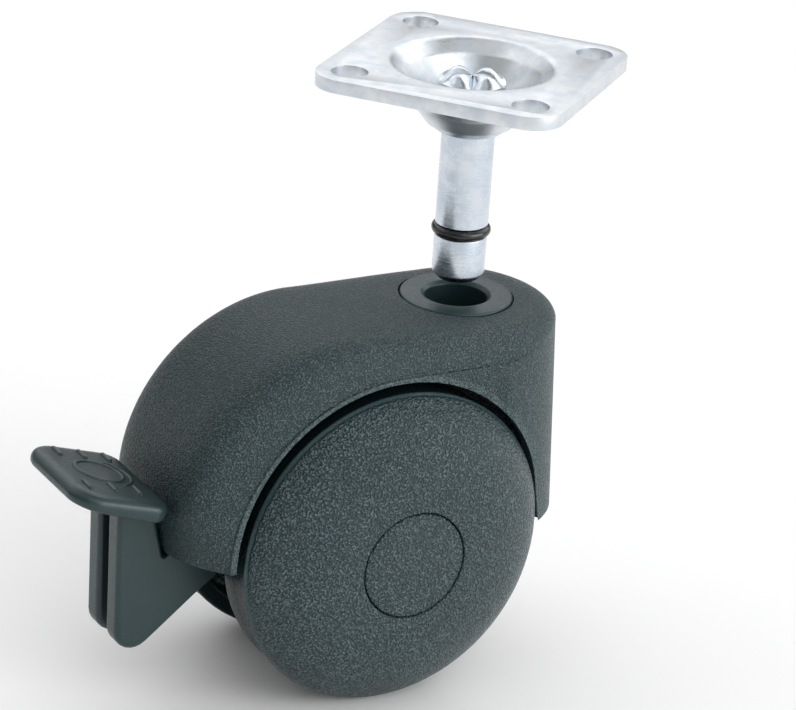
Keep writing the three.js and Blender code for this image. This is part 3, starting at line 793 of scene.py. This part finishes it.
def hull(name, points):
    """The convex hull of millimetre points."""
    bm = bmesh.new()
    for point in points:
        bm.verts.new(Vector(point) * MM)
    result = bmesh.ops.convex_hull(bm, input=bm.verts)
    loose = [v for v in result["geom_interior"] if isinstance(v, bmesh.types.BMVert)]
    bmesh.ops.delete(bm, geom=list(set(loose)), context="VERTS")
    mesh = bpy.data.meshes.new(name)
    bm.to_mesh(mesh)
    bm.free()
    obj = bpy.data.objects.new(name, mesh)
    bpy.context.scene.collection.objects.link(obj)
    obj.location = AXLE * MM
    return obj


def duplicate(obj):
    copy = obj.copy()
    copy.data = obj.data.copy()
    bpy.context.scene.collection.objects.link(copy)
    return copy


def build_collar():
    ring_seat = COLLAR_Z + 0.3 - 15.7
    outline = rounded([
        (4.75, 7.2, 0.2), (5.8, 7.2, 0.3), (5.8, SEAT_Z, 0), (8.6, SEAT_Z, 0.1),
        (8.6, COLLAR_Z - 0.02, 0.32), (5.35, COLLAR_Z + 0.0, 0.35), (4.75, COLLAR_Z - 0.55, 0.3),
        (4.75, ring_seat + 1.2, 0), (5.15, ring_seat + 0.8, 0.2), (5.15, ring_seat - 0.8, 0.2),
        (4.75, ring_seat - 1.2, 0)])
    collar = turned("socket_collar_bush", outline, AXLE + Vector((STEM_X, 0, 0)), "Z", 144)
    finish_piece(collar, "housing", "collar_plastic", "socket_collar")


# ------------------------------------------------------------------ stem plate unit

PLATE_SIDE = 38.0
PLATE_THICKNESS = 2.0
HOLE_SPACING = 28.0
STEM_DROP = 10.3
STEM_LENGTH = 23.5
HEAD_RADIUS = 5.0


def rounded_square(side, radius):
    half = side / 2
    corners = [(half, -half, radius), (half, half, radius), (-half, half, radius), (-half, -half, radius)]
    return rounded(corners, 14)


def build_plate():
    top = Vector((STEM.x, STEM.y, PLATE_TOP))
    plate = upright("mounting_plate_pressing", rounded_square(PLATE_SIDE, 5), -PLATE_THICKNESS, 0, top)
    for x in (-1, 1):
        for y in (-1, 1):
            outline = circle(2.75, x * HOLE_SPACING / 2, y * HOLE_SPACING / 2, 48)
            boolean(plate, upright("hole", outline, -5, 5, top), "DIFFERENCE")
    bevel(plate, 0.38, 4, 40)
    boolean(plate, upright("dish_cut", circle(13.4, steps=128), -5, 5, top), "DIFFERENCE")
    dish = [(13.4, 0, 0), (12.2, 0, 1.6), (10.2, -1.9, 2.0), (7.6, -6.4, 1.5), (6.0, -8.3, 0.8),
            (4.1, -8.3, 0), (4.1, -STEM_DROP, 0), (4.9, -STEM_DROP, 0.5), (6.6, -9.1, 2.0), (8.6, -6.6, 2.0),
            (11.4, -2, 1.5), (13.4, -2, 0)]
    boolean(plate, turned("dish", rounded(dish, 8), top, "Z", 128), "UNION")
    tidy(plate)
    plate.data.transform(Matrix.Rotation(PLATE_HEADING, 4, "Z"))
    finish_piece(plate, "stem_plate", "zinc_plate", "mounting_plate")


def star_height(radius, angle):
    """Top of the staked head: four petals with valleys between them."""
    petal = abs(math.cos(2 * angle))
    ridge_fall = smoothstep((radius - 3.2) / (HEAD_RADIUS - 3.2))
    valley_fall = smoothstep((radius - 3.0) / (HEAD_RADIUS - 3.0))
    ridge = -1.9 + 0.55 * smoothstep(radius / 2.2) - 1.3 * ridge_fall
    valley = -2.3 - 0.75 * smoothstep(radius / 3.2) - 0.5 * valley_fall
    return mix(valley, ridge, petal ** 0.9)


def build_stem():
    """The pin and its star-staked head as one turned skin; the head's rows follow the petals."""
    top = Vector((STEM.x, STEM.y, PLATE_TOP))
    groove = RING_Z - PLATE_TOP
    tip = -STEM_DROP - STEM_LENGTH
    side = rounded([(0, tip, 0), (3.1, tip, 0.25), (4, tip + 0.95, 0.5), (4, groove - 0.9, 0.12),
                    (2.8, groove - 0.9, 0), (2.8, groove + 0.9, 0), (4, groove + 0.9, 0.12),
                    (4, -8.1, 0), (5, -8.1, 0.2), (5, -3.7, 0)])
    star_rows = [5.0, 4.9, 4.6, 4.2, 3.7, 3.2, 2.7, 2.2, 1.7, 1.2, 0.7, 0.3, 0.0]
    steps = 144
    verts = []
    for step in range(steps):
        angle = 2 * math.pi * step / steps
        petal = abs(math.cos(2 * angle))
        for radius, height in side:
            verts.append((radius * math.cos(angle), radius * math.sin(angle), height))
        for radius in star_rows:
            reach = radius * (1 + 0.05 * petal * radius / HEAD_RADIUS)
            height = star_height(radius, angle)
            verts.append((reach * math.cos(angle), reach * math.sin(angle), height))
    count = len(side) + len(star_rows)
    faces = []
    for step in range(steps):
        ahead = (step + 1) % steps
        for i in range(count - 1):
            faces.append((step * count + i, step * count + i + 1, ahead * count + i + 1, ahead * count + i))
    pin = new_object("stem_pin_turning", verts, faces, top)
    pin.data.transform(Matrix.Rotation(math.radians(14), 4, "Z"))
    finish_piece(pin, "stem_plate", "zinc_pin", "stem_pin")


def build_ring():
    turns = np.linspace(0, 2 * math.pi, 28, endpoint=False)
    wire = [(3.7 + 0.8 * math.cos(a), 0.8 * math.sin(a)) for a in turns]
    ring = turned("stem_snap_ring", wire, Vector((STEM.x, STEM.y, RING_Z)), "Z", 144)
    finish_piece(ring, "grip_ring", "black_ring", "stem_ring")


# ------------------------------------------------------------------ brake pedal

PAD_TILT = math.radians(17)
PAD_HALF_WIDTH = 10.3
PAD_LENGTH = 15.6
PAD_FRONT = (-33.9, 10.4)
EYE_RADIUS = 4.2
WEB_THICKNESS = 3.8
WEB_SIDES = (1.3, -5.1)


def pad_outline(inset):
    """The pad seen from above: front edge at 0, rear edge at -PAD_LENGTH, moved in by inset."""
    half = PAD_HALF_WIDTH - inset
    front, rear = -inset, -PAD_LENGTH + inset
    corners = [(front, -half, 2.8 - 0.5 * inset), (front, half, 2.8 - 0.5 * inset),
               (rear, half, 4.6 - inset), (rear, -half, 4.6 - inset)]
    return rounded(corners, 18)


def pad_thickness(x):
    return mix(3.3, 2.5, min(max(-x / PAD_LENGTH, 0), 1))


def build_pad():
    """The foot pad: thick in front, thin behind, with a rolled rim."""
    # Each ring of the rim: (inset, share of the thickness below the top, lift).
    rim = [(1.0, 1.0, 0.0), (0.4, 0.93, 0.0), (0.1, 0.8, 0.0), (0.0, 0.6, 0.0), (0.0, 0.0, -1.3),
           (0.1, 0.0, -0.85), (0.35, 0.0, -0.47), (0.75, 0.0, -0.2), (1.3, 0.0, -0.05), (2.0, 0.0, 0.0)]
    verts = []
    for inset, depth_share, lift in rim:
        verts += [(x, y, lift - pad_thickness(x) * depth_share) for x, y in pad_outline(inset)]
    count = len(verts) // len(rim)
    return new_object("pad", verts, ring_faces(count, len(rim)) + end_faces(count, len(rim)))


def capsule(name, start, end, radius, squash):
    """A low rounded rib lying on the pad between two points."""
    verts = []
    start, end = np.array(start, float), np.array(end, float)
    along = (end - start) / np.linalg.norm(end - start)
    side = np.array([-along[1], along[0]])
    steps = 12
    for k in range(steps + 1):
        angle = -math.pi / 2 + math.pi * k / steps
        centre = start if k <= steps // 2 else end
        reach = radius * math.sin(angle)
        width = radius * math.cos(angle)
        for j in range(steps):
            turn = 2 * math.pi * j / steps
            x, y = centre + along * reach + side * width * math.cos(turn)
            verts.append((x, y, squash * width * math.sin(turn)))
    return new_object(name, verts, ring_faces(steps, steps + 1))


def arc_bead(name, centre, radius, from_angle, to_angle, wire):
    """A raised bead along an arc on the pad; a full turn closes on itself."""
    full = abs(to_angle - from_angle) >= 2 * math.pi - 1e-6
    steps = 72
    count = steps if full else steps + 1
    verts, faces = [], []
    for k in range(count):
        angle = mix(from_angle, to_angle, k / steps)
        ends = 1.0 if full else math.sqrt(max(0.02, 1 - (2 * k / steps - 1) ** 10))
        for j in range(10):
            turn = 2 * math.pi * j / 10
            out = radius + wire * ends * math.cos(turn)
            verts.append((centre[0] + out * math.cos(angle), centre[1] + out * math.sin(angle),
                          wire * ends * math.sin(turn) * 0.7))
    for k in range(count if full else count - 1):
        ahead = (k + 1) % count
        faces += [(k * 10 + j, k * 10 + (j + 1) % 10, ahead * 10 + (j + 1) % 10, ahead * 10 + j)
                  for j in range(10)]
    if not full:
        faces += [tuple(range(10)), tuple(range((count - 1) * 10, count * 10))[::-1]]
    return new_object(name, verts, faces)


def web_rounding(x):
    """The web's edges are well rounded at the free end and crisper inside the hood."""
    return mix(0.9, 0.2, smoothstep((x + 36) / 5))


def build_pedal():
    pad = build_pad()
    centre = (-7.6, 0.6)
    boolean(pad, arc_bead("ring", centre, 3.7, 0, 2 * math.pi, 0.36), "UNION")
    boolean(pad, arc_bead("arc", centre, 5.0, -1.2, 1.0, 0.3), "UNION")
    for row_y, skew in ((6.9, 0.0), (-5.6, -1.0)):
        for k in range(3):
            x = -3.2 - 4.2 * k + skew
            boolean(pad, capsule("rib", (x, row_y - 1.15), (x, row_y + 1.15), 0.42, 0.95), "UNION")
    tidy(pad, 50)
    pad.data.transform(Matrix.Rotation(PAD_TILT, 4, "Y"))
    pad.data.transform(Matrix.Translation(Vector((PAD_FRONT[0], 0, PAD_FRONT[1])) * MM))

    eye = [(PIVOT.x - AXLE.x + EYE_RADIUS * math.cos(a), PIVOT.z - AXLE.z + EYE_RADIUS * math.sin(a))
           for a in np.linspace(-0.45, 0.8 * math.pi, 24)]
    web = rounded([(-40.4, 10.2, 0), (-40.2, -18.3, 3.1), (-27.3, -7.3, 0),
                   (-18.6, -1.0, 0.4), (-17.7, -0.4, 0.3), (-17.7, 2, 0)], 8)
    web += eye + rounded([(-28, -0.2, 0), (-33.0, -0.5, 0.6), (-34.1, 5.4, 3), (-34.5, 9.2, 0)], 8)[1:]
    walls = [soft_prism("web", web, y, y + WEB_THICKNESS, web_rounding) for y in WEB_SIDES]
    lever = walls[0]
    boolean(lever, walls[1], "UNION")
    bridge = [(-26, -5.8), (-18.6, -1), (-17.7, -0.4), (-17.7, 2), (-19, 7), (-24, 7), (-27, 0.2)]
    boolean(lever, prism("bridge", bridge, -4.1, 4.1), "UNION")
    boolean(lever, pad, "UNION")
    boolean(lever, cross_bore("eye_bore", PIVOT_BORE, PIVOT, 48), "DIFFERENCE")
    lever.name = "brake_pedal_lever"
    tidy(lever, 40)
    even_normals(lever)
    finish_piece(lever, "pedal", "pedal_plastic", "brake_lever")


# ------------------------------------------------------------------ carried-over CAD nodes

def dress_cad_nodes():
    slots = {entry["node"]: entry["material_slot"] for entry in frame["record"]["subparts"]}
    for name, obj in frame["nodes"].items():
        obj.data.materials.clear()
        obj.data.materials.append(LOOKS[slots[name]])


# ------------------------------------------------------------------ floor, light and camera

FLOOR_HALF_SIZE = 3.0


def build_stage():
    half = FLOOR_HALF_SIZE
    corners = [(-half, -half, 0), (half, -half, 0), (half, half, 0), (-half, half, 0)]
    mesh = bpy.data.meshes.new("floor")
    mesh.from_pydata(corners, [], [(0, 1, 2, 3)])
    floor = bpy.data.objects.new("floor", mesh)
    bpy.context.scene.collection.objects.link(floor)
    shader = Shader("pale_floor")
    shader.feed(shader.surface, Base_Color=(0.97, 0.97, 0.97, 1), Roughness=0.6, Specular_IOR_Level=0.2)
    floor.data.materials.append(shader.material)


def area_light(name, place, target, size, power):
    data = bpy.data.lights.new(name, "AREA")
    data.shape = "RECTANGLE"
    data.size, data.size_y = size
    data.energy = power
    light = bpy.data.objects.new(name, data)
    bpy.context.scene.collection.objects.link(light)
    light.location = Vector(place)
    light.rotation_euler = (Vector(target) - Vector(place)).to_track_quat("-Z", "Y").to_euler()


VIEW_AZIMUTH = math.radians(-31.37)
VIEW_ELEVATION = math.radians(23.34)
VIEW_ROLL = math.radians(4.07)
VIEW_DISTANCE = 0.528
VIEW_OFFSET = (0.0085, 0.0198)
LENS = 156.3
SHIFT = (0.0, 0.0259)


def view_axes():
    """Right, up and back of the camera."""
    a, e = VIEW_AZIMUTH, VIEW_ELEVATION
    back = Vector((math.sin(a) * math.cos(e), -math.cos(a) * math.cos(e), math.sin(e)))
    right = Vector((math.cos(a), math.sin(a), 0))
    up = back.cross(right)
    level_right = right * math.cos(VIEW_ROLL) + up * math.sin(VIEW_ROLL)
    level_up = up * math.cos(VIEW_ROLL) - right * math.sin(VIEW_ROLL)
    return level_right, level_up, back


def build_camera():
    right, up, back = view_axes()
    place = AXLE * MM + back * VIEW_DISTANCE + right * VIEW_OFFSET[0] + up * VIEW_OFFSET[1]
    data = bpy.data.cameras.new("camera")
    data.lens = LENS
    data.shift_x, data.shift_y = SHIFT
    camera = bpy.data.objects.new("camera", data)
    bpy.context.scene.collection.objects.link(camera)
    camera.matrix_world = Matrix.Translation(place) @ Matrix((right, up, back)).transposed().to_4x4()
    bpy.context.scene.camera = camera


# Soft boxes far away: (degrees to the right of straight in front, degrees up, strength).
SOFT_BOXES = [(35, 4, 4.5), (75, 4, 0.5), (0, 38, 1.6), (-90, 38, 0.3), (-140, 38, 0.95), (100, 38, 1.75),
              (160, 38, 1.3)]
# Light from every direction, and the cosines where a box starts and reaches full strength.
AMBIENT = 0.1
BOX_EDGE = (math.cos(math.radians(34)), math.cos(math.radians(16)))


def build_light():
    """Soft boxes painted on the sky, so that the floor is lit evenly, and one wide lamp overhead."""
    world = bpy.data.worlds.new("studio")
    bpy.context.scene.world = world
    world.use_nodes = True
    nodes, links = world.node_tree.nodes, world.node_tree.links
    direction = nodes.new("ShaderNodeTexCoord").outputs["Generated"]
    total = nodes.new("ShaderNodeValue").outputs[0]
    total.default_value = AMBIENT
    for aside, up, strength in SOFT_BOXES:
        a, e = math.radians(aside), math.radians(up)
        facing = nodes.new("ShaderNodeVectorMath")
        facing.operation = "DOT_PRODUCT"
        facing.inputs[1].default_value = (math.sin(a) * math.cos(e), -math.cos(a) * math.cos(e), math.sin(e))
        links.new(direction, facing.inputs[0])
        glow = nodes.new("ShaderNodeMapRange")
        glow.interpolation_type = "SMOOTHSTEP"
        for key, value in zip(("From Min", "From Max", "To Max"), (*BOX_EDGE, strength)):
            glow.inputs[key].default_value = value
        links.new(facing.outputs["Value"], glow.inputs["Value"])
        add = nodes.new("ShaderNodeMath")
        links.new(total, add.inputs[0])
        links.new(glow.outputs["Result"], add.inputs[1])
        total = add.outputs[0]
    background = nodes["Background"]
    background.inputs["Color"].default_value = (1, 1, 1, 1)
    links.new(total, background.inputs["Strength"])
    area_light("overhead", (-0.65, 0, 2.45), (0, 0, 0.04), (2.3, 2.3), 9.3)
    bpy.context.scene.view_settings.view_transform = "Standard"


dress_cad_nodes()
build_wheel("left", 1)
build_wheel("right", -1)
build_hood()
build_collar()
build_plate()
build_stem()
build_ring()
build_pedal()
build_stage()
build_camera()
build_light()
